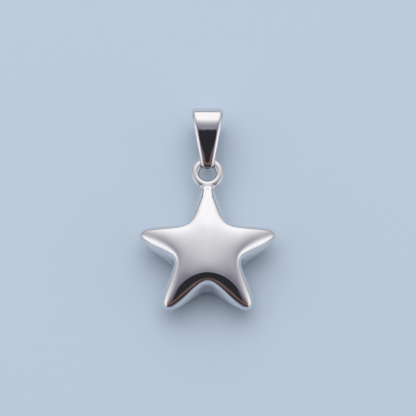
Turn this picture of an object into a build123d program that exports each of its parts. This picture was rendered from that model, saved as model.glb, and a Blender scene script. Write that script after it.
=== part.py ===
from build123d import *
from collections import namedtuple
import math
import os

# Star pendant, lying on its back. Millimetres.
# +Z is up, +Y runs from the star to the bail, and the pendant is symmetric in X.
# The origin is under the middle of the whole pendant, on the surface that it rests on.

# Star: a cast five-pointed star with rounded tips, domed alike on its face and its back
star_points = 5
star_reach = 9.5  # centre to the end of an arm
notch_reach = 4.9  # centre to the bottom of a notch
tip_round = 0.9
notch_round = 0.8
star_thickness = 5.6

# Ring: round wire, soldered to the top arm, its hole through the star's thickness
ring_hole = 2.2
ring_wire = 1.12
ring_sink = 0.12  # how far the top arm's tip reaches into the ring

# Solder: a short oval collar that widens the top arm's tip where the ring sits on it
solder_width = 1.9
solder_height = 1.35
solder_length = 1.5
solder_taper = 0.05  # taken off each side of the collar by the time it meets the ring

# Bail: one tapered strip bent into a closed loop through the ring
bail_length = 9.2
bail_strip = 0.65
bail_bend = 3.0  # outer radius of the wide top bend
bail_bow = 20.0  # outer radius of the bowed front
bail_back_bow = 40.0  # outer radius of the flatter back
bail_top_width = 4.25
bail_shoulder_width = 3.72
bail_shoulder_drop = 3.4  # from the top end down to the shoulder
bail_shoulder_round = 12.0
bail_foot_width = 1.85
bail_foot_rise = 0.95  # from the bottom end up to the foot
bail_foot_round = 2.0
bail_end_width = 1.1
bail_edge_round = 0.2
bail_gap = 0.1  # clearance between the strip and the ring's wire

# Worked out from the sizes above
half_thickness = star_thickness / 2
point_turn = 360 / star_points
half_turn = math.radians(point_turn / 2)
ring_outer_radius = ring_hole / 2 + ring_wire
ring_path_radius = (ring_hole + ring_wire) / 2
ring_from_star = star_reach + ring_outer_radius - ring_sink
foot_bend = ring_wire / 2 + bail_gap + bail_strip

# The strip's lower bend goes through the ring's hole. Its corners meet the round hole first,
# so it sits down from the wire by what the hole curves away over half the strip's end.
hole_at_corner = math.sqrt((ring_hole / 2) ** 2 - (bail_end_width / 2) ** 2)
foot_from_star = ring_from_star + hole_at_corner - bail_gap + foot_bend - bail_strip
bail_bottom_from_star = foot_from_star - foot_bend
bail_top_from_star = bail_bottom_from_star + bail_length

# The lower arms' ends are the pendant's lowest points in Y
low_from_star = (star_reach - tip_round) * math.cos(half_turn) + tip_round
star_y = (low_from_star - bail_top_from_star) / 2
ring_y = star_y + ring_from_star
foot_y = star_y + foot_from_star
bail_bottom_y = star_y + bail_bottom_from_star
bail_top_y = star_y + bail_top_from_star
bend_y = bail_top_y - bail_bend

# Level lines of the star, from its middle plane out to the flat of its face.
# Each length is a share of the size that its column stands for.
Level = namedtuple("Level", "half_thickness star_reach notch_reach tip_round notch_round")
LEVELS = [
    Level(0.00, 1.000, 1.000, 1.00, 1.00),
    Level(0.28, 0.944, 0.992, 0.98, 1.60),
    Level(0.54, 0.800, 0.972, 1.02, 2.30),
    Level(0.75, 0.642, 0.922, 1.25, 2.90),
    Level(0.88, 0.502, 0.822, 1.50, 3.00),
    Level(0.945, 0.395, 0.640, 1.50, 1.60),
    Level(1.00, 0.275, 0.430, 1.00, 1.00),
]


def star_corners(tip, notch, tip_radius, notch_radius):
    """The ten sharp corners whose roundings end at the given reaches.

    An arm's straight flank touches the rounding of its tip and of its notch. That fixes the
    flank's lean from the arm's axis and its distance from the star's centre."""
    tip_centre = tip - tip_radius
    notch_centre = notch + notch_radius
    along = tip_centre - notch_centre * math.cos(half_turn)
    across = notch_centre * math.sin(half_turn)
    rounding = (tip_radius + notch_radius) / math.hypot(along, across)
    lean = math.atan2(across, along) - math.asin(rounding)
    flank = tip_centre * math.sin(lean) + tip_radius
    tip_corner = flank / math.sin(lean)
    notch_corner = flank / math.sin(lean + half_turn)
    corners = []
    for point in range(star_points):
        arm = math.radians(90 + point * point_turn)
        between = arm + half_turn
        corners.append((tip_corner * math.cos(arm), tip_corner * math.sin(arm)))
        corners.append((notch_corner * math.cos(between), notch_corner * math.sin(between)))
    return corners


def corner_distance(vertex):
    """Distance of a sketch corner from the star's axis."""
    return math.hypot(vertex.X, vertex.Y - star_y)


def bowed_side(top_centre, low_centre, bow, side):
    """Three points of the arc that touches both of the loop's bends and bulges outwards.

    The centres are (y, z). side is 1 for the front, which faces up, and -1 for the back.
    The arc's own centre lies bow - bail_bend from the one bend's centre and bow - foot_bend
    from the other's."""
    span_y = low_centre[0] - top_centre[0]
    span_z = low_centre[1] - top_centre[1]
    span = math.hypot(span_y, span_z)
    to_bend = bow - bail_bend
    to_foot = bow - foot_bend
    along = (to_bend**2 - to_foot**2 + span**2) / (2 * span)
    away = side * math.sqrt(to_bend**2 - along**2)
    centre_y = top_centre[0] + (span_y * along - span_z * away) / span
    centre_z = top_centre[1] + (span_z * along + span_y * away) / span
    middle = ((top_centre[0] + low_centre[0]) / 2, (top_centre[1] + low_centre[1]) / 2)
    points = []
    for aim_y, aim_z in (top_centre, middle, low_centre):
        reach = bow / math.hypot(aim_y - centre_y, aim_z - centre_z)
        points.append((centre_y + (aim_y - centre_y) * reach, centre_z + (aim_z - centre_z) * reach))
    return points


def runs_along_strip(edge):
    """True for the long edges at the strip's two sides, False for the seams across it."""
    return edge.length > 2 * bail_strip and abs(edge.center().X) > bail_end_width / 4


# Star with its soldered ring: one piece of metal
with BuildPart() as star_drop:
    back = [(level, -1) for level in reversed(LEVELS)]
    face = [(level, 1) for level in LEVELS[1:]]
    for level, side in back + face:
        height = half_thickness * (1 + side * level.half_thickness)
        tip_radius = tip_round * level.tip_round
        notch_radius = notch_round * level.notch_round
        with BuildSketch(Plane.XY.offset(height)) as outline:
            with BuildLine(Plane((0, star_y, 0))):
                Polyline(
                    *star_corners(
                        star_reach * level.star_reach,
                        notch_reach * level.notch_reach,
                        tip_radius,
                        notch_radius,
                    ),
                    close=True,
                )
            make_face()
            fillet(outline.vertices().sort_by(corner_distance)[star_points:], tip_radius)
            fillet(outline.vertices().sort_by(corner_distance)[:star_points], notch_radius)
    loft()

    with Locations((0, ring_y, half_thickness)):
        Torus(ring_path_radius, ring_wire / 2)

    solder_end = ring_y - ring_path_radius
    across_arm = Plane((0, solder_end, half_thickness), x_dir=(1, 0, 0), z_dir=(0, -1, 0))
    with BuildSketch(across_arm) as collar_at_ring:
        Ellipse(solder_width / 2 - solder_taper, ring_wire / 2 - solder_taper)
    with BuildSketch(across_arm.offset(solder_length)) as collar_in_arm:
        Ellipse(solder_width / 2, solder_height / 2)
    loft([collar_at_ring.sketch, collar_in_arm.sketch])

# Bail: the loop's side view, cut to the strip's taper in plan
bend_centre = (bend_y, bail_bend)
foot_centre = (foot_y, half_thickness)
front = bowed_side(bend_centre, foot_centre, bail_bow, 1)
rear = bowed_side(bend_centre, foot_centre, bail_back_bow, -1)
half_widths = [
    (bail_top_width / 2, bail_top_y),
    (bail_shoulder_width / 2, bail_top_y - bail_shoulder_drop),
    (bail_foot_width / 2, bail_bottom_y + bail_foot_rise),
    (bail_end_width / 2, bail_bottom_y),
]

with BuildPart() as bail:
    with BuildSketch(Plane.YZ):
        with BuildLine():
            ThreePointArc(*front)
            ThreePointArc(front[2], (bail_bottom_y, half_thickness), rear[2])
            ThreePointArc(*reversed(rear))
            ThreePointArc(rear[0], (bail_top_y, bail_bend), front[0])
        make_face()
        offset(amount=-bail_strip, mode=Mode.SUBTRACT)
    extrude(amount=bail_top_width / 2, both=True)
    with BuildSketch(Plane.XY) as taper:
        with BuildLine():
            Polyline(*half_widths, *[(-x, y) for x, y in reversed(half_widths)], close=True)
        make_face()
        fillet(taper.vertices().group_by(Axis.Y)[1], bail_foot_round)
        fillet(taper.vertices().group_by(Axis.Y)[-2], bail_shoulder_round)
    extrude(amount=2 * bail_bend, mode=Mode.INTERSECT)
    fillet(bail.edges().filter_by(runs_along_strip), bail_edge_round)

os.makedirs("parts", exist_ok=True)
star_drop.part.label = "star_drop"
export_step(star_drop.part, "parts/star_drop.step")
bail.part.label = "bail"
export_step(bail.part, "parts/bail.step")
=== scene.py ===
"""Star pendant of mirror-polished steel, lying on its back on a pale floor.

The star with its soldered ring is one piece and the bail is another. Both are surfaces worked
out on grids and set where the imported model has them. Sizes are in millimetres in the classes
and become metres when a mesh is made.
"""

import logging
import math
from dataclasses import dataclass, field
from enum import Enum

import bpy
import numpy as np
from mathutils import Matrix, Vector


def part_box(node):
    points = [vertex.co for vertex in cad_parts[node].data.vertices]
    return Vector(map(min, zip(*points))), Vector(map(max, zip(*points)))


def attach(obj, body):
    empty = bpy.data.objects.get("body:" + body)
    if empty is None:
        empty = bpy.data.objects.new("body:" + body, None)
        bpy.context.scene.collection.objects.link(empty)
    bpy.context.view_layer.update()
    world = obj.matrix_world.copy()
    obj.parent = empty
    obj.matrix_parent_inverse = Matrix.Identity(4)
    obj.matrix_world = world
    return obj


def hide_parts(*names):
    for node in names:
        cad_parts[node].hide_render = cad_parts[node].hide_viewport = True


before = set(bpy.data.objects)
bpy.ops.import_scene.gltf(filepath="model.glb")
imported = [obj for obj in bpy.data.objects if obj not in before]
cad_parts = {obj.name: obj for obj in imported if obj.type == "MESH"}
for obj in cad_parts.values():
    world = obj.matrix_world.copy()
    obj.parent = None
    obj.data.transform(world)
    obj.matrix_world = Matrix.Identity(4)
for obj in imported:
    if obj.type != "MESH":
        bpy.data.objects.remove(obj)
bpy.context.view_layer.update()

log = logging.getLogger("star_pendant")

MM = 0.001
Colour = tuple[float, float, float]
Span = tuple[float, float]  # where a soft step starts and where it ends


class Side(Enum):
    """A side of the bail's loop: the front faces up and the rear faces the floor."""

    FRONT = 1
    REAR = -1


# Meshes


def grid_faces(rows: int, columns: int, rows_wrap: bool) -> np.ndarray:
    """Four-cornered faces of a grid whose columns wrap round.

    Args:
        rows: number of grid rows.
        columns: number of grid columns; the last joins the first.
        rows_wrap: whether the last row joins the first too.

    Returns:
        Corner numbers, one row for each face.
    """
    row = np.arange(rows if rows_wrap else rows - 1)[:, None]
    column = np.arange(columns)[None, :]
    next_row = (row + 1) % rows
    next_column = (column + 1) % columns
    corners = (
        row * columns + column,
        row * columns + next_column,
        next_row * columns + next_column,
        next_row * columns + column,
    )
    return np.stack(corners, axis=-1).reshape(-1, 4)


def mesh_object(name: str, points: np.ndarray, faces: list[np.ndarray]) -> bpy.types.Object:
    """A smooth-shaded object from points in millimetres, with its faces turned outwards.

    The triple products of the triangles' corner vectors add up to six times the volume. A
    negative sum means that the faces point inwards, and then each is listed backwards.

    Args:
        name: the object's name.
        points: corner places in millimetres.
        faces: arrays of corner numbers, one array for each number of corners.

    Returns:
        The object, linked to the scene, at the origin.
    """
    total = 0.0
    for block in faces:
        first = points[block[:, 0]]
        for step in range(1, block.shape[1] - 1):
            second, third = points[block[:, step]], points[block[:, step + 1]]
            total += np.einsum("ij,ij->i", first, np.cross(second, third)).sum()
    turned = [block if total > 0 else block[:, ::-1] for block in faces]
    polygons = [face for block in turned for face in block.tolist()]
    mesh = bpy.data.meshes.new(name)
    mesh.from_pydata((points * MM).tolist(), [], polygons)
    mesh.validate()
    mesh.shade_smooth()
    piece = bpy.data.objects.new(name, mesh)
    bpy.context.scene.collection.objects.link(piece)
    return piece


def smooth_step(value: np.ndarray, low: float, high: float) -> np.ndarray:
    """Rises smoothly from 0 where value is low to 1 where it is high."""
    share = np.clip((value - low) / (high - low), 0, 1)
    return share * share * (3 - 2 * share)


def squared(wave: np.ndarray, power: np.ndarray | float) -> np.ndarray:
    """Turns a cosine or sine of a circle into that of a superellipse with this power."""
    return np.sign(wave) * np.abs(wave) ** (2 / power)


def whole_turn(steps: int) -> np.ndarray:
    """Angles in even steps once round, without the last, which would be the first again."""
    return np.linspace(0, math.tau, steps, endpoint=False)


def capped_tube(
    name: str, rings: np.ndarray, start: np.ndarray, end: np.ndarray
) -> bpy.types.Object:
    """A closed object from a stack of rings, with a fan of triangles to a point at each end.

    Args:
        name: the object's name.
        rings: places in millimetres, indexed by ring, place round the ring, and axis.
        start: the point that closes the first ring.
        end: the point that closes the last ring.

    Returns:
        The closed object.
    """
    rows, columns, _ = rings.shape
    points = np.concatenate([rings.reshape(-1, 3), [start], [end]])
    around = np.arange(columns)
    after = (around + 1) % columns
    last_row = (rows - 1) * columns
    to_start = np.full(columns, rows * columns)
    start_fan = np.stack([to_start, after, around], axis=-1)
    end_fan = np.stack([to_start + 1, last_row + around, last_row + after], axis=-1)
    walls = grid_faces(rows, columns, rows_wrap=False)
    return mesh_object(name, points, [walls, np.concatenate([start_fan, end_fan])])


def fuse(
    body: bpy.types.Object, others: list[bpy.types.Object], crease: float
) -> bpy.types.Object:
    """Unites closed objects into one closed skin.

    Args:
        body: the object that takes the others in and keeps its name.
        others: the objects to unite with it, which are then removed.
        crease: edges that turn by more than this many degrees are shaded sharp.

    Returns:
        The body with its new mesh.
    """
    for other in others:
        union = body.modifiers.new(other.name, "BOOLEAN")
        union.operation = "UNION"
        union.solver = "EXACT"
        union.object = other
    graph = bpy.context.evaluated_depsgraph_get()
    united = bpy.data.meshes.new_from_object(body.evaluated_get(graph))
    body.modifiers.clear()
    old = body.data
    body.data = united
    united.name = body.name
    bpy.data.meshes.remove(old)
    for other in others:
        bpy.data.meshes.remove(other.data)
    united.shade_smooth()
    united.set_sharp_from_angle(angle=math.radians(crease))
    return body


# Shader maths


class Socket:
    """An output socket that adds Math nodes for the operators used on it."""

    def __init__(self, graph: "Graph", output: bpy.types.NodeSocket) -> None:
        """Wraps one output socket of the graph."""
        self.graph = graph
        self.output = output

    def __add__(self, other: "Socket | float") -> "Socket":
        """This plus other."""
        return self.graph.math("ADD", self, other)

    def __radd__(self, other: float) -> "Socket":
        """Other plus this."""
        return self.graph.math("ADD", other, self)

    def __sub__(self, other: "Socket | float") -> "Socket":
        """This less other."""
        return self.graph.math("SUBTRACT", self, other)

    def __rsub__(self, other: float) -> "Socket":
        """Other less this."""
        return self.graph.math("SUBTRACT", other, self)

    def __mul__(self, other: "Socket | float") -> "Socket":
        """This times other."""
        return self.graph.math("MULTIPLY", self, other)

    def __rmul__(self, other: float) -> "Socket":
        """Other times this."""
        return self.graph.math("MULTIPLY", other, self)

    def __truediv__(self, other: "Socket | float") -> "Socket":
        """This over other."""
        return self.graph.math("DIVIDE", self, other)

    def __rtruediv__(self, other: float) -> "Socket":
        """Other over this."""
        return self.graph.math("DIVIDE", other, self)

    def __neg__(self) -> "Socket":
        """This with its sign turned."""
        return self.graph.math("MULTIPLY", self, -1.0)

    def __abs__(self) -> "Socket":
        """This without its sign."""
        return self.graph.math("ABSOLUTE", self, 0.0)

    def rise(self, span: Span) -> "Socket":
        """A smooth step from 0 at the span's start to 1 at its end."""
        settings = {"interpolation_type": "SMOOTHSTEP"}
        inputs = {"Value": self, "From Min": span[0], "From Max": span[1]}
        return self.graph.node("ShaderNodeMapRange", settings, inputs, "Result")

    def fall(self, span: Span) -> "Socket":
        """A smooth step from 1 at the span's start to 0 at its end."""
        return 1 - self.rise(span)


class Graph:
    """A node tree written as expressions."""

    def __init__(self, tree: bpy.types.NodeTree) -> None:
        """Takes a node tree and empties it."""
        self.tree = tree
        tree.nodes.clear()

    def node(
        self,
        kind: str,
        settings: dict[str, object] | None = None,
        inputs: dict[str, object] | None = None,
        output: str = "",
    ) -> Socket:
        """Adds one node.

        Args:
            kind: the node's type.
            settings: its properties, set first.
            inputs: values or sockets, by the identifier or name of the node's own socket.
            output: identifier or name of the output that is wanted; the first one if empty.

        Returns:
            The wanted output.
        """
        node = self.tree.nodes.new(kind)
        for key, value in (settings or {}).items():
            setattr(node, key, value)
        for key, value in (inputs or {}).items():
            target = self.pick(node.inputs, key)
            if isinstance(value, Socket):
                self.tree.links.new(value.output, target)
            else:
                target.default_value = value
        found = self.pick(node.outputs, output) if node.outputs else None
        return Socket(self, found)

    @staticmethod
    def pick(sockets: bpy.types.bpy_prop_collection, key: str) -> bpy.types.NodeSocket:
        """The socket with that identifier, or else that name; the first one for no key."""
        matches = [socket for socket in sockets if socket.identifier == key]
        return matches[0] if matches else sockets[key or 0]

    def math(self, operation: str, first: Socket | float, second: Socket | float) -> Socket:
        """A Math node on two numbers."""
        inputs = {"Value": first, "Value_001": second}
        return self.node("ShaderNodeMath", {"operation": operation}, inputs)

    def smaller(self, first: Socket | float, second: Socket | float) -> Socket:
        """The smaller of two numbers."""
        return self.math("MINIMUM", first, second)

    def larger(self, first: Socket | float, second: Socket | float) -> Socket:
        """The larger of two numbers."""
        return self.math("MAXIMUM", first, second)

    def blend(self, factor: Socket | float, low: object, high: object) -> Socket:
        """A colour between low and high."""
        inputs = {"Factor_Float": factor, "A_Color": low, "B_Color": high}
        return self.node("ShaderNodeMix", {"data_type": "RGBA"}, inputs, "Result_Color")


def rgba(colour: Colour) -> tuple[float, float, float, float]:
    """A colour with full cover."""
    return (*colour, 1.0)


# Finishes


@dataclass(frozen=True)
class MirrorSteel:
    """Mirror-polished steel with faint haze, buffing hairlines and a soft waviness.

    Attributes:
        name: the material's name.
        tone: the metal's reflection colour.
        dulling: share of the tone that is left where the metal is most handled.
        roughness: of the cleanest polish.
        haze: roughness that smudges add at most.
        speckle_haze: roughness that small specks add at most.
        hairline_haze: roughness that hairlines add at most.
        smudge_size: width of a smudge in millimetres.
        smudge_edge: noise levels between which a smudge fades in.
        speckle_size: width of a speck in millimetres.
        speckle_edge: noise levels between which a speck fades in.
        hairline_turn: the hairlines' direction, as turns about the axes in radians.
        hairline_stretch: how fine the noise is across and along the hairlines.
        hairline_scale: noise cells in a metre before that.
        hairline_edge: noise levels between which a hairline fades in.
        wave_size: length in millimetres of the waviness that polishing leaves.
        wave_height: its height in millimetres.
        scratch_height: depth of the hairlines in millimetres.
    """

    name: str = "mirror_steel"
    tone: Colour = (0.80, 0.80, 0.815)
    dulling: float = 0.93
    roughness: float = 0.035
    haze: float = 0.05
    speckle_haze: float = 0.06
    hairline_haze: float = 0.08
    smudge_size: float = 3.0
    smudge_edge: Span = (0.45, 0.75)
    speckle_size: float = 0.25
    speckle_edge: Span = (0.62, 0.75)
    hairline_turn: tuple[float, float, float] = (0.2, 0.1, 0.9)
    hairline_stretch: tuple[float, float, float] = (12.0, 0.5, 12.0)
    hairline_scale: float = 700.0
    hairline_edge: Span = (0.66, 0.74)
    wave_size: float = 2.5
    wave_height: float = 0.0012
    scratch_height: float = 0.0002

    def material(self) -> bpy.types.Material:
        """Builds the material.

        Returns:
            A material whose colour, roughness and bump vary in object space.
        """
        material = bpy.data.materials.new(self.name)
        material.use_nodes = True
        graph = Graph(material.node_tree)
        place = graph.node("ShaderNodeTexCoord", output="Object")
        smudge = self.cloud(graph, place, self.smudge_size, detail=4.0).rise(self.smudge_edge)
        speckle = self.cloud(graph, place, self.speckle_size, detail=2.0).rise(self.speckle_edge)
        hairlines = self.hairlines(graph, place)
        roughness = self.roughness + self.haze * smudge + self.speckle_haze * speckle
        roughness = roughness + self.hairline_haze * hairlines
        dull = tuple(self.dulling * part for part in self.tone)
        colour = graph.blend(smudge * 0.5 + speckle * 0.5, rgba(self.tone), rgba(dull))
        wave = self.cloud(graph, place, self.wave_size, detail=1.0)
        height = wave * (self.wave_height * MM) - hairlines * (self.scratch_height * MM)
        relief = {"Strength": 1.0, "Distance": 1.0, "Height": height}
        steel = {
            "Base Color": colour,
            "Metallic": 1.0,
            "Roughness": roughness,
            "Normal": graph.node("ShaderNodeBump", inputs=relief),
        }
        surface = graph.node("ShaderNodeBsdfPrincipled", inputs=steel)
        graph.node("ShaderNodeOutputMaterial", inputs={"Surface": surface})
        return material

    def cloud(self, graph: Graph, place: Socket, size: float, detail: float) -> Socket:
        """Soft noise whose blotches are about size millimetres wide."""
        inputs = {"Vector": place, "Scale": 1 / (size * MM), "Detail": detail, "Roughness": 0.5}
        return graph.node("ShaderNodeTexNoise", inputs=inputs, output="Fac")

    def hairlines(self, graph: Graph, place: Socket) -> Socket:
        """Thin straight scratches: noise stretched along one slanting direction, peaks only."""
        turned = {"Vector": place, "Rotation": self.hairline_turn, "Scale": self.hairline_stretch}
        stretched = graph.node("ShaderNodeMapping", inputs=turned)
        inputs = {"Vector": stretched, "Scale": self.hairline_scale, "Detail": 1.0}
        noise = graph.node("ShaderNodeTexNoise", inputs=inputs, output="Fac")
        return noise.rise(self.hairline_edge)


@dataclass(frozen=True)
class PaleFloor:
    """The plain pale surface that the pendant lies on."""

    name: str = "pale_floor"
    tone: Colour = (0.50, 0.60, 0.70)
    roughness: float = 0.6

    def material(self) -> bpy.types.Material:
        """A plain soft surface in one tone."""
        material = bpy.data.materials.new(self.name)
        material.use_nodes = True
        graph = Graph(material.node_tree)
        inputs = {"Base Color": rgba(self.tone), "Roughness": self.roughness}
        surface = graph.node("ShaderNodeBsdfPrincipled", inputs=inputs)
        graph.node("ShaderNodeOutputMaterial", inputs={"Surface": surface})
        return material


# The pendant


@dataclass
class Piece:
    """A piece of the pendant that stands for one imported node.

    Attributes:
        node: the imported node.
        finish: the piece's material.
        low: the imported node's lowest corner in millimetres.
        high: its highest corner in millimetres.
    """

    node: str
    finish: bpy.types.Material
    low: np.ndarray = field(init=False)
    high: np.ndarray = field(init=False)

    def __post_init__(self) -> None:
        """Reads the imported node's box."""
        low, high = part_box(self.node)
        self.low = np.array(low) / MM
        self.high = np.array(high) / MM

    def build(self) -> bpy.types.Object:
        """Makes the piece's mesh; each kind of piece does it in its own way."""
        raise NotImplementedError

    def make(self) -> None:
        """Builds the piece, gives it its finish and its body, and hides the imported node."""
        piece = self.build()
        piece.data.materials.clear()
        piece.data.materials.append(self.finish)
        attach(piece, "root")
        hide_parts(self.node)
        log.info("%s: %d faces for %s", piece.name, len(piece.data.polygons), self.node)


@dataclass
class StarDrop(Piece):
    """The cast star with its soldered ring, in millimetres.

    Every level line is a star whose flanks lie at a fixed distance from the axis, mirrored at
    each arm and notch, with the turn eased so that tips and notches are round. Inwards the
    lines shrink and their roundings grow until they are circles. The height blends two domes
    of the same share and is a little lower towards the arms' ends.
    """

    arms: int = 5
    reach: float = 9.5
    flank_distance: float = 3.457  # from the axis to a flank's line, at the rim
    flank_lean: float = 15.48  # degrees between a flank and its arm's axis, at the rim
    lean_gain: float = -5.29  # degrees added by the time a level line reaches the axis
    tip_ease: float = 0.1164  # how round the rim's tips are, from 0, sharp, to 1, a circle
    tip_fade: float = 2.995  # power of the share by which inner lines' tips get rounder
    notch_ease: float = 0.075
    notch_fade: float = 3.0
    broad_power: float = 2.0
    broad_edge: float = 0.597
    full_power: float = 4.84
    full_edge: float = 0.5
    full_share: float = 0.849  # how much of the height is the fuller dome's
    arm_drop: float = 0.072  # share of the height that is lost at the arms' reach
    tip_widening: float = 0.20  # share that an arm's end gains in width
    widening_from: float = 4.0
    widening_to: float = 9.4
    tip_shortening: float = 0.15
    shortening_from: float = 8.9
    pointed_reach: float = 9.62  # where an arm would end if it weren't shortened
    columns: int = 640
    rows: int = 54
    rim_samples: int = 14400
    lowest_samples: int = 7200
    profile_samples: int = 20000
    ring_radius: float = 1.66
    wire_radius: float = 0.56
    wire_power: float = 2.5  # a little flatter than round wire, as the polishing leaves it
    ring_columns: int = 160
    wire_columns: int = 48
    solder_waist: float = 0.82  # half the neck's width between star and ring
    solder_spread: float = 0.36  # what half the width gains in each millimetre towards the star
    solder_flare: float = 0.30  # what half the width gains on the ring
    solder_flare_end: float = 9.95
    solder_start: float = 7.8
    solder_end: float = 10.44
    solder_bend: float = 9.48  # where the neck's sloping top becomes the flat one on the ring
    solder_lead: float = 0.3  # how far before the bend the section starts to change
    solder_trail: float = 0.1  # how far past the bend it is fully oblong
    solder_height: float = 0.575  # half the neck's height on the ring
    solder_slope: float = 0.485  # what half the height gains in each millimetre
    solder_ease: float = 0.04  # length over which the slope turns flat
    solder_power: float = 3.2  # superellipse power of the section on the ring
    arm_power: float = 2.3  # and where the neck leaves the arm
    solder_rows: int = 60
    solder_columns: int = 96
    crease: float = 35.0  # degrees; the parts meet at sharper turns than this

    @property
    def half_thickness(self) -> float:
        """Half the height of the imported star."""
        return (self.high[2] - self.low[2]) / 2

    @property
    def ring_centre(self) -> np.ndarray:
        """The ring's centre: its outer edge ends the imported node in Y."""
        outer = self.ring_radius + self.wire_radius
        return np.array([0.0, self.high[1] - outer, self.low[2] + self.half_thickness])

    @property
    def centre(self) -> np.ndarray:
        """The star's centre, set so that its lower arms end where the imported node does."""
        turn = np.linspace(0, math.tau, self.lowest_samples + 1)
        lowest = self.blunt(self.level(1.0, turn), turn)[1].min()
        return np.array([0.0, self.low[1] - lowest, self.low[2] + self.half_thickness])

    def level(self, share: np.ndarray | float, turn: np.ndarray) -> np.ndarray:
        """Distance from the axis of the level line that lies at a share of the way out.

        The turn is folded at every arm and notch by taking the arc cosine of its cosine. Both
        ends of that cosine are drawn in first, which rounds the tips and the notches.

        Args:
            share: 0 at the axis and 1 at the rim.
            turn: angle from the top arm, in radians.

        Returns:
            share times the flank's distance over the sine of the eased angle from the flank.
        """
        tip_ease = 1 - (1 - self.tip_ease) * share**self.tip_fade
        notch_ease = 1 - (1 - self.notch_ease) * share**self.notch_fade
        swing = (2 - tip_ease - notch_ease) / 2
        wave = (notch_ease - tip_ease) / 2 + swing * np.cos(self.arms * turn)
        eased = np.arccos(np.clip(wave, -1, 1)) / self.arms
        lean = np.radians(self.flank_lean + self.lean_gain * (1 - share))
        return share * self.flank_distance / np.sin(lean + eased)

    def height(self, share: np.ndarray, distance: np.ndarray) -> np.ndarray:
        """Height of a level line over the middle plane.

        A dome is 1 less a power of the share, itself taken to a power. The broad and the
        fuller dome are blended, and lowered with the square of the distance from the axis.

        Args:
            share: 0 at the axis and 1 at the rim.
            distance: from the axis.

        Returns:
            The height.
        """
        broad = (1 - share**self.broad_power) ** self.broad_edge
        full = (1 - share**self.full_power) ** self.full_edge
        dome = broad + (full - broad) * self.full_share
        return self.half_thickness * dome * (1 - self.arm_drop * (distance / self.reach) ** 2)

    def even_turns(self) -> np.ndarray:
        """Angles that step evenly along the rim."""
        fine = np.linspace(0, math.tau, self.rim_samples + 1)
        distance = self.level(1.0, fine)
        steps = np.hypot(np.diff(distance * np.sin(fine)), np.diff(distance * np.cos(fine)))
        travelled = np.concatenate([[0], np.cumsum(steps)])
        wanted = np.arange(self.columns) / self.columns * travelled[-1]
        return np.interp(wanted, travelled, fine)

    def even_shares(self) -> np.ndarray:
        """Shares from near the axis to the rim that step evenly over the star's profiles.

        The length travelled is an arm's profile and a notch's together, each taken as 1. The
        fine samples crowd towards the rim, where the height falls fastest.

        Returns:
            One share for each row.
        """
        fine = 1 - np.linspace(1, 0, self.profile_samples + 1) ** 3
        travelled = np.zeros_like(fine)
        for turn in (0.0, math.pi / self.arms):
            distance = self.level(fine, np.array(turn))
            height = self.height(fine, distance)
            steps = np.hypot(np.diff(distance), np.diff(height))
            travelled[1:] += np.cumsum(steps) / steps.sum()
        wanted = np.arange(1, self.rows + 1) / self.rows * travelled[-1]
        return np.interp(wanted, travelled, fine)

    def blunt(self, distance: np.ndarray, turn: np.ndarray) -> tuple[np.ndarray, np.ndarray]:
        """Widens and shortens the arms' ends, which makes them round.

        Each place is taken along and across its own arm. Smooth steps along the arm then
        stretch it across and pull it back.

        Args:
            distance: from the axis.
            turn: angle from the top arm, in radians.

        Returns:
            The changed places as x and y.
        """
        half = math.pi / self.arms
        arm_turn = turn - ((turn + half) % (2 * half) - half)
        along = distance * np.cos(turn - arm_turn)
        across = distance * np.sin(turn - arm_turn)
        widened = smooth_step(along, self.widening_from, self.widening_to)
        across = across * (1 + self.tip_widening * widened)
        shortened = smooth_step(along, self.shortening_from, self.pointed_reach)
        along = along - self.tip_shortening * shortened
        x = -along * np.sin(arm_turn) - across * np.cos(arm_turn)
        y = along * np.cos(arm_turn) - across * np.sin(arm_turn)
        return x, y

    def body(self) -> bpy.types.Object:
        """The star: rings of level lines from the face's middle, round the rim, to the back's."""
        turn = self.even_turns()[None, :]
        share = self.even_shares()[:, None]
        distance = self.level(share, turn)
        height = self.height(share, distance)
        x, y = self.blunt(distance, turn + 0 * distance)
        face = np.stack([x, y, height], axis=-1)
        back = face[-2::-1] * (1, 1, -1)
        rings = np.concatenate([face, back]) + self.centre
        pole = np.array([0, 0, self.half_thickness])
        return capped_tube("star_drop_piece", rings, self.centre + pole, self.centre - pole)

    def ring(self) -> bpy.types.Object:
        """The wire ring: a superellipse carried round a circle."""
        around = whole_turn(self.ring_columns)[:, None]
        across = whole_turn(self.wire_columns)[None, :]
        distance = self.ring_radius + self.wire_radius * squared(np.cos(across), self.wire_power)
        height = self.wire_radius * squared(np.sin(across), self.wire_power) + 0 * around
        points = np.stack([distance * np.sin(around), distance * np.cos(around), height], axis=-1)
        points = points + self.ring_centre
        faces = grid_faces(self.ring_columns, self.wire_columns, rows_wrap=True)
        return mesh_object("ring", points.reshape(-1, 3), [faces])

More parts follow.
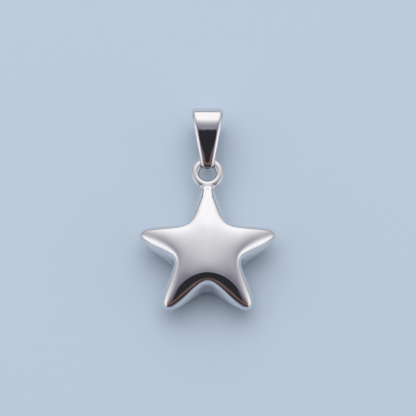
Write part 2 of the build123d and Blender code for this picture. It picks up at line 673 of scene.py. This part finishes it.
    def solder(self) -> bpy.types.Object:
        """The solder neck: rounded oblongs carried along the arm on to the ring.

        Its top slopes down from the star, turns flat over the ring and follows the wire down
        into the hole. The turn is a soft maximum of the two heights. Each section is a
        superellipse, as round as the arm's own where the neck leaves it.
        """
        along = np.linspace(self.solder_start, self.solder_end, self.solder_rows)[:, None]
        around = whole_turn(self.solder_columns)[None, :]
        before = (self.solder_bend - along) / self.solder_ease
        fall = self.solder_ease * np.logaddexp(0, before)
        change = self.solder_bend - self.solder_lead
        flared = smooth_step(along, change, self.solder_flare_end)
        half_width = self.solder_waist + self.solder_spread * fall
        half_width = half_width + self.solder_flare * flared
        past = np.clip(along + self.centre[1] - self.ring_centre[1] + self.ring_radius, 0, None)
        half_height = np.sqrt(self.solder_height**2 - past**2) + self.solder_slope * fall
        oblong = smooth_step(along, change, self.solder_bend + self.solder_trail)
        power = self.arm_power + (self.solder_power - self.arm_power) * oblong
        x = half_width * squared(np.cos(around), power)
        z = half_height * squared(np.sin(around), power)
        points = np.stack([x, along + 0 * around, z], axis=-1)
        ends = self.centre + np.array([[0, self.solder_start, 0], [0, self.solder_end, 0]])
        return capped_tube("solder", points + self.centre, ends[0], ends[1])

    def build(self) -> bpy.types.Object:
        """The whole piece, with one skin."""
        return fuse(self.body(), [self.solder(), self.ring()], self.crease)


@dataclass
class Bail(Piece):
    """The tapered strip bent into a closed loop, in millimetres.

    Its side view is four arcs that touch: the wide top bend, the bowed front, the small
    lower bend and the flatter rear. The section is a rounded strip with bevelled outer edges,
    crowned towards the foot.
    """

    foot_height: float  # height of the ring's middle plane, where the lower bend goes round
    strip: float = 0.65
    foot_bend: float = 1.31
    front_bow: float = 14.0
    rear_bow: float = 40.0
    edge_round: float = 0.09
    bend_ease: float = 0.5  # length over which one arc runs into the next
    crown: float = 0.02  # how much lower the strip's edges are than its middle
    foot_crown: float = 0.24  # what the crown gains towards the foot
    crown_from: float = 6.5  # rise at which that gain begins
    foot_end: float = 0.7  # rise at which the lower bend begins, where the crown is fullest
    bevel_width: float = 0.46
    bevel_drop: float = 0.24
    bevel_power: float = 1.8
    foot_bevel_loss: float = 0.4  # share of the bevel's drop that is gone at the foot
    rear_narrowing: float = 0.3  # how much less half the width is at the loop's underside
    half_widths: tuple[tuple[float, float], ...] = (  # each with its rise, from the top end
        (2.20, 9.2),
        (1.95, 6.4),
        (0.98, 0.66),
        (0.62, 0.0),
    )
    width_ease: float = 0.03
    length_steps: int = 420
    face_steps: int = 40
    side_steps: int = 4
    corner_steps: int = 10

    @property
    def bend(self) -> float:
        """Outer radius of the top bend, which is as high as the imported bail."""
        return (self.high[2] - self.low[2]) / 2

    def bow_centre(self, bow: float, side: Side) -> np.ndarray:
        """Centre of the arc that touches both bends on one side.

        It lies bow - bend from the top bend's centre and bow - foot_bend from the lower one's,
        so it is where two circles cross.

        Args:
            bow: the arc's radius.
            side: which side of the loop it closes.

        Returns:
            The centre as (y, z).
        """
        top, foot = self.bend_centres()
        span = foot - top
        length = np.linalg.norm(span)
        to_top, to_foot = bow - self.bend, bow - self.foot_bend
        along = (to_top**2 - to_foot**2 + length**2) / (2 * length)
        away = side.value * math.sqrt(to_top**2 - along**2)
        ahead = span / length
        return top + ahead * along + np.array([-ahead[1], ahead[0]]) * away

    def bend_centres(self) -> tuple[np.ndarray, np.ndarray]:
        """Centres of the top and lower bends as (y, z)."""
        top = np.array([self.high[1] - self.bend, self.low[2] + self.bend])
        foot = np.array([self.low[1] + self.foot_bend, self.foot_height])
        return top, foot

    def side_view(self) -> tuple[np.ndarray, np.ndarray]:
        """Outer line of the loop and its outward normals, in even steps.

        Returns:
            Places and unit normals as (y, z) rows.
        """
        top, foot = self.bend_centres()
        front = self.bow_centre(self.front_bow, Side.FRONT)
        rear = self.bow_centre(self.rear_bow, Side.REAR)
        angles = [
            self.direction(front, top),
            self.direction(front, foot),
            self.direction(rear, foot) + math.tau,
            self.direction(rear, top) + math.tau,
            self.direction(front, top) + math.tau,
        ]
        centres = np.array([front, foot, rear, top])
        radii = np.array([self.front_bow, self.foot_bend, self.rear_bow, self.bend])
        lengths = radii * np.diff(angles)
        travelled = np.concatenate([[0], np.cumsum(lengths)])
        place = np.arange(self.length_steps) / self.length_steps * travelled[-1]
        arc = np.searchsorted(travelled, place, side="right") - 1
        angle = np.array(angles)[arc] + (place - travelled[arc]) / radii[arc]
        spokes = np.stack([np.cos(angle), np.sin(angle)], axis=-1) * radii[arc][:, None]
        return self.eased(centres[arc] + spokes, travelled[-1])

    @staticmethod
    def direction(start: np.ndarray, end: np.ndarray) -> float:
        """Angle in the side view of the line from start to end."""
        return math.atan2(end[1] - start[1], end[0] - start[0])

    def eased(self, line: np.ndarray, length: float) -> tuple[np.ndarray, np.ndarray]:
        """Lets the arcs of a closed line run into each other.

        The line is averaged along itself with bell-shaped weights, by way of its Fourier
        series. A normal is the line's direction turned by a quarter.

        Args:
            line: places as (y, z) rows, in even steps.
            length: the line's whole length.

        Returns:
            Places and unit normals as (y, z) rows.
        """
        turns = np.fft.fftfreq(self.length_steps, 1 / self.length_steps)
        series = np.fft.fft(line[:, 0] + 1j * line[:, 1])
        bell = np.exp(-2 * (math.pi * self.bend_ease * turns / length) ** 2)
        smooth = np.fft.ifft(series * bell)
        ahead = np.roll(smooth, -1) - np.roll(smooth, 1)
        normal = -1j * ahead / np.abs(ahead)
        return np.stack([smooth.real, smooth.imag], -1), np.stack([normal.real, normal.imag], -1)

    def half_width(self, rise: np.ndarray) -> np.ndarray:
        """Half the strip's width at a rise from the loop's lower end.

        The plan's side is the lowest of three straight lines through the named widths, and
        their corners are eased by a soft minimum: minus the logarithm of the summed
        exponentials of minus each line.

        Args:
            rise: distance in Y from the loop's lower end.

        Returns:
            Half the width at each rise.
        """
        total = np.zeros_like(rise)
        for upper, lower in zip(self.half_widths, self.half_widths[1:]):
            slope = (upper[0] - lower[0]) / (upper[1] - lower[1])
            line = lower[0] + slope * (rise - lower[1])
            total += np.exp(-line / self.width_ease)
        return -self.width_ease * np.log(total)

    def section(self) -> np.ndarray:
        """The strip's section as a walk round a rounded rectangle.

        Returns:
            Rows of (inner x share, corner x, inner depth share, corner depth): a point is the
            inner rectangle's share plus the corner's rounding times its unit direction.
        """
        run = np.linspace(-1, 1, self.face_steps, endpoint=False)
        side = np.linspace(1, -1, self.side_steps, endpoint=False)
        turn = np.linspace(0, math.pi / 2, self.corner_steps, endpoint=False)
        flat, one = np.zeros_like(run), np.ones_like(run)
        level, full = np.zeros_like(side), np.ones_like(side)
        bend = np.ones_like(turn)
        parts = [
            (run, flat, one, one),
            (bend, np.sin(turn), bend, np.cos(turn)),
            (full, full, side, level),
            (bend, np.cos(turn), -bend, -np.sin(turn)),
            (-run, flat, -one, -one),
            (-bend, -np.sin(turn), -bend, -np.cos(turn)),
            (-full, -full, -side, level),
            (-bend, -np.cos(turn), bend, np.sin(turn)),
        ]
        return np.concatenate([np.stack(part, axis=-1) for part in parts])

    def relief(self, x: np.ndarray, half_width: np.ndarray, rise: np.ndarray) -> np.ndarray:
        """How much lower the strip's outer face is than a flat one.

        The crown falls with the square of the share of the way to the edge, and the bevel with
        a power of the share of the way across it. Towards the foot the crown gains and the
        bevel loses, up to the lower bend, round which both go back.

        Args:
            x: places across the strip.
            half_width: half the strip's width there.
            rise: distance in Y from the loop's lower end.

        Returns:
            The drop at each place.
        """
        aside = np.abs(x) / half_width
        bevel = np.clip(1 - (half_width - np.abs(x)) / self.bevel_width, 0, 1)
        foot = smooth_step(rise, 0, self.foot_end)
        foot = foot - smooth_step(rise, self.foot_end, self.crown_from)
        crown = (self.crown + self.foot_crown * foot) * aside**2
        edge = self.bevel_drop * (1 - self.foot_bevel_loss * foot) * bevel**self.bevel_power
        return crown + edge

    def build(self) -> bpy.types.Object:
        """The loop: the section carried along the side view, as wide as the plan says there."""
        line, normals = self.side_view()
        share_x, corner_x, share_depth, corner_depth = self.section().T[:, None, :]
        centre_line = line - normals * self.strip / 2
        below = np.clip(1 - (line[:, 1:] - self.low[2]) / self.bend, 0, 1)
        rise = line[:, :1] - self.low[1]
        half_width = self.half_width(rise) - self.rear_narrowing * below
        x = share_x * (half_width - self.edge_round) + corner_x * self.edge_round
        lift = share_depth * (self.strip / 2 - self.edge_round) + corner_depth * self.edge_round
        lift = lift - self.relief(x, half_width, rise) * (share_depth + 1) / 2
        y = centre_line[:, :1] + normals[:, :1] * lift
        z = centre_line[:, 1:] + normals[:, 1:] * lift
        points = np.stack([x, y, z], axis=-1)
        rows, columns, _ = points.shape
        return mesh_object("bail_piece", points.reshape(-1, 3), [grid_faces(rows, columns, True)])


# The studio


@dataclass(frozen=True)
class SoftWalls:
    """Light from all round the pendant, as pale walls with dark and warm areas between them.

    A direction is given by two angles in degrees from the zenith: ahead, towards the camera's
    side of the studio, and aside, to the left or the right, which are alike. A span is where a
    soft edge starts and ends. A share says how strong an area is.
    """

    strength: float = 1.0
    backdrop: Colour = (0.8, 0.85, 0.9)  # what the camera sees past the floor
    ceiling: Colour = (0.223, 0.215, 0.270)
    white: Colour = (1.17, 1.15, 1.15)
    dark: Colour = (0.027, 0.027, 0.032)
    copper: Colour = (0.20, 0.118, 0.106)
    dim: Colour = (0.20, 0.20, 0.22)
    over_one: float = 1.0001  # keeps the division by the sine from failing at the zenith
    # The wall at the back, with a glow in front of it
    back_from: float = 2.9
    back_from_aside: float = 0.52
    back_depth: float = 34.7
    back_depth_aside: float = 1.41
    back_sides: Span = (18, 60)
    back_sides_share: float = 0.64
    back_foot: Span = (79, 93)
    back_foot_share: float = 0.8
    glow: Span = (4, 22)
    glow_ahead: float = -6.0
    glow_share: float = 0.10
    # The walls at both sides
    side_wall: Span = (35, 77)
    side_wall_lead: float = 7.0  # how much nearer to the zenith it starts in front
    side_wall_lead_span: Span = (-20, 12)
    side_wall_foot: Span = (80, 120)
    side_wall_foot_share: float = 0.5
    side_wall_back: Span = (-60, 15)
    side_wall_front: Span = (21, 95)
    # A dim band low down all round, apart from the front
    low_band: Span = (81, 88)
    low_band_front: Span = (20, 40)
    # The warm area in front
    copper_start: Span = (15, 44)
    copper_end: Span = (64, 76)
    copper_sides: Span = (24, 62)
    # The dark opening before it
    opening_top: Span = (0, 2)
    opening_top_slant: float = 0.56
    opening_sides: Span = (25, 37)
    opening_sides_slant: float = 0.36
    opening_end: Span = (43, 51)
    opening_end_slant: float = 0.2
    opening_end_dip: float = 5.0  # how much earlier it ends off its middle line
    opening_end_dip_span: Span = (0, 10)
    # The dark line at the warm area's lower edge
    line_start: Span = (53, 57)
    line_end: Span = (67, 75)
    line_sides: Span = (40, 60)
    line_share: float = 0.9

    def world(self) -> bpy.types.World:
        """Builds the light.

        The zenith angle is the arc cosine of Z. Its product with X and with minus Y, over the
        zenith angle's sine, gives the angles aside and ahead.

        Returns:
            A world whose colour depends on the direction.
        """
        world = bpy.data.worlds.new("soft_studio")
        world.use_nodes = True
        graph = Graph(world.node_tree)
        split = {"Vector": graph.node("ShaderNodeTexCoord", output="Generated")}
        x, y, z = (graph.node("ShaderNodeSeparateXYZ", inputs=split, output=axis) for axis in "XYZ")
        from_zenith = graph.math("ARCCOSINE", z, 0.0) * math.degrees(1)
        stretch = from_zenith / graph.math("SQRT", self.over_one - z * z, 0.0)
        aside = abs(x) * stretch
        ahead = -(y * stretch)
        pale = graph.smaller(self.back_wall(aside, ahead) + self.side_walls(aside, ahead), 1.0)
        colour = graph.blend(pale, rgba(self.ceiling), rgba(self.white))
        low = from_zenith.rise(self.low_band) * ahead.fall(self.low_band_front)
        colour = graph.blend(low, colour, rgba(self.dim))
        colour = graph.blend(self.copper_area(aside, ahead), colour, rgba(self.copper))
        black = graph.larger(self.opening(aside, ahead), self.front_line(aside, ahead))
        colour = graph.blend(black, colour, rgba(self.dark))
        seen = graph.node("ShaderNodeLightPath", output="Is Camera Ray")
        shown = graph.blend(seen, colour, rgba(self.backdrop))
        light = {"Color": shown, "Strength": self.strength}
        background = graph.node("ShaderNodeBackground", inputs=light)
        graph.node("ShaderNodeOutputWorld", inputs={"Surface": background})
        return world

    def back_wall(self, aside: Socket, ahead: Socket) -> Socket:
        """The wall at the back, and a glow round the middle in front of it.

        Towards its sides the wall starts nearer to the zenith and rises more softly.

        Args:
            aside: angle to the left or the right.
            ahead: angle towards the camera's side.

        Returns:
            How white the direction is.
        """
        depth = aside * self.back_depth_aside + self.back_depth
        wall = ((aside * self.back_from_aside - ahead - self.back_from) / depth).rise((0, 1))
        wall = wall * (1 - aside.rise(self.back_sides) * self.back_sides_share)
        wall = wall * (1 - (-ahead).rise(self.back_foot) * self.back_foot_share)
        glow = (aside + abs(ahead - self.glow_ahead)).fall(self.glow)
        return wall + glow * self.glow_share

    def side_walls(self, aside: Socket, ahead: Socket) -> Socket:
        """The walls at both sides, brightest beside the pendant and fading to front and back."""
        lead = ahead.rise(self.side_wall_lead_span) * self.side_wall_lead
        wall = (aside + lead).rise(self.side_wall)
        wall = wall * (1 - aside.rise(self.side_wall_foot) * self.side_wall_foot_share)
        return wall * ahead.rise(self.side_wall_back) * ahead.fall(self.side_wall_front)

    def copper_area(self, aside: Socket, ahead: Socket) -> Socket:
        """A warm area in front, which shows as a copper edge below the dark opening."""
        area = ahead.rise(self.copper_start) * ahead.fall(self.copper_end)
        return area * aside.fall(self.copper_sides)

    def opening(self, aside: Socket, ahead: Socket) -> Socket:
        """The dark opening in front: slanted above, at its sides and below.

        Args:
            aside: angle to the left or the right.
            ahead: angle towards the camera's side.

        Returns:
            How dark the direction is.
        """
        top = (ahead - aside * self.opening_top_slant).rise(self.opening_top)
        sides = (aside + ahead * self.opening_sides_slant).fall(self.opening_sides)
        dip = aside.rise(self.opening_end_dip_span) * self.opening_end_dip
        end = (ahead - aside * self.opening_end_slant + dip).fall(self.opening_end)
        return top * sides * end

    def front_line(self, aside: Socket, ahead: Socket) -> Socket:
        """A dark line below the copper edge."""
        line = ahead.rise(self.line_start) * ahead.fall(self.line_end)
        return line * aside.fall(self.line_sides) * self.line_share


@dataclass
class Studio:
    """A pale floor, soft light from all round and from overhead, and the camera."""

    star_centre: np.ndarray
    floor_size: float = 3.0  # metres
    elevation: float = 67.89  # degrees that the camera looks down at
    distance: float = 300.0
    view_width: float = 54.88  # millimetres that the picture is wide at the star
    aim_up: float = 6.15  # how far above the star, in the picture, the camera aims
    aim_right: float = 0.054
    sensor: float = 36.0
    nearest: float = 0.001  # metres in front of the camera that it starts to see
    lamp_place: tuple[float, float, float] = (-0.05, 0.15, 0.60)  # metres
    lamp_size: float = 1.1  # metres
    lamp_power: float = 3.3

    def floor(self) -> bpy.types.Object:
        """The floor, level with the pendant's underside."""
        half = self.floor_size / 2
        corners = [(-half, -half, 0), (half, -half, 0), (half, half, 0), (-half, half, 0)]
        mesh = bpy.data.meshes.new("floor")
        mesh.from_pydata(corners, [], [(0, 1, 2, 3)])
        piece = bpy.data.objects.new("floor", mesh)
        bpy.context.scene.collection.objects.link(piece)
        mesh.materials.append(PaleFloor().material())
        return piece

    def lamp(self) -> None:
        """A wide soft lamp overhead, which lights the floor and shows in no reflection."""
        lamp = bpy.data.lights.new("overhead", "AREA")
        lamp.shape = "DISK"
        lamp.size = self.lamp_size
        lamp.energy = self.lamp_power
        holder = bpy.data.objects.new("overhead", lamp)
        holder.location = self.lamp_place
        holder.rotation_euler = (-Vector(self.lamp_place)).to_track_quat("-Z", "Y").to_euler()
        holder.visible_glossy = False
        bpy.context.scene.collection.objects.link(holder)

    def camera(self) -> None:
        """A camera that looks down at the pendant at the picture's angle."""
        tilt = math.radians(self.elevation)
        back = Vector((0, -math.cos(tilt), math.sin(tilt)))
        up = Vector((0, math.sin(tilt), math.cos(tilt)))
        centre = Vector(self.star_centre)
        aim = centre + up * self.aim_up + Vector((self.aim_right, 0, 0))
        place = centre + back * self.distance
        lens = bpy.data.cameras.new("camera")
        lens.sensor_width = self.sensor
        lens.lens = self.sensor * self.distance / self.view_width
        lens.clip_start = self.nearest
        holder = bpy.data.objects.new("camera", lens)
        holder.location = place * MM
        holder.rotation_euler = (aim - place).to_track_quat("-Z", "Y").to_euler()
        bpy.context.scene.collection.objects.link(holder)
        bpy.context.scene.camera = holder

    def set_up(self) -> None:
        """Puts the floor, the light and the camera in place."""
        self.floor()
        bpy.context.scene.world = SoftWalls().world()
        self.lamp()
        self.camera()
        bpy.context.scene.view_settings.view_transform = "Standard"
        log.info("studio: floor, soft walls, overhead lamp and camera")


def main() -> None:
    """Builds the pendant's pieces and the studio."""
    logging.basicConfig(level=logging.INFO, format="%(name)s: %(message)s")
    steel = MirrorSteel().material()
    star = StarDrop("star_drop", steel)
    star.make()
    bail = Bail("bail", steel, foot_height=float(star.centre[2]))
    bail.make()
    Studio(star.centre).set_up()


if __name__ == "__main__":
    main()
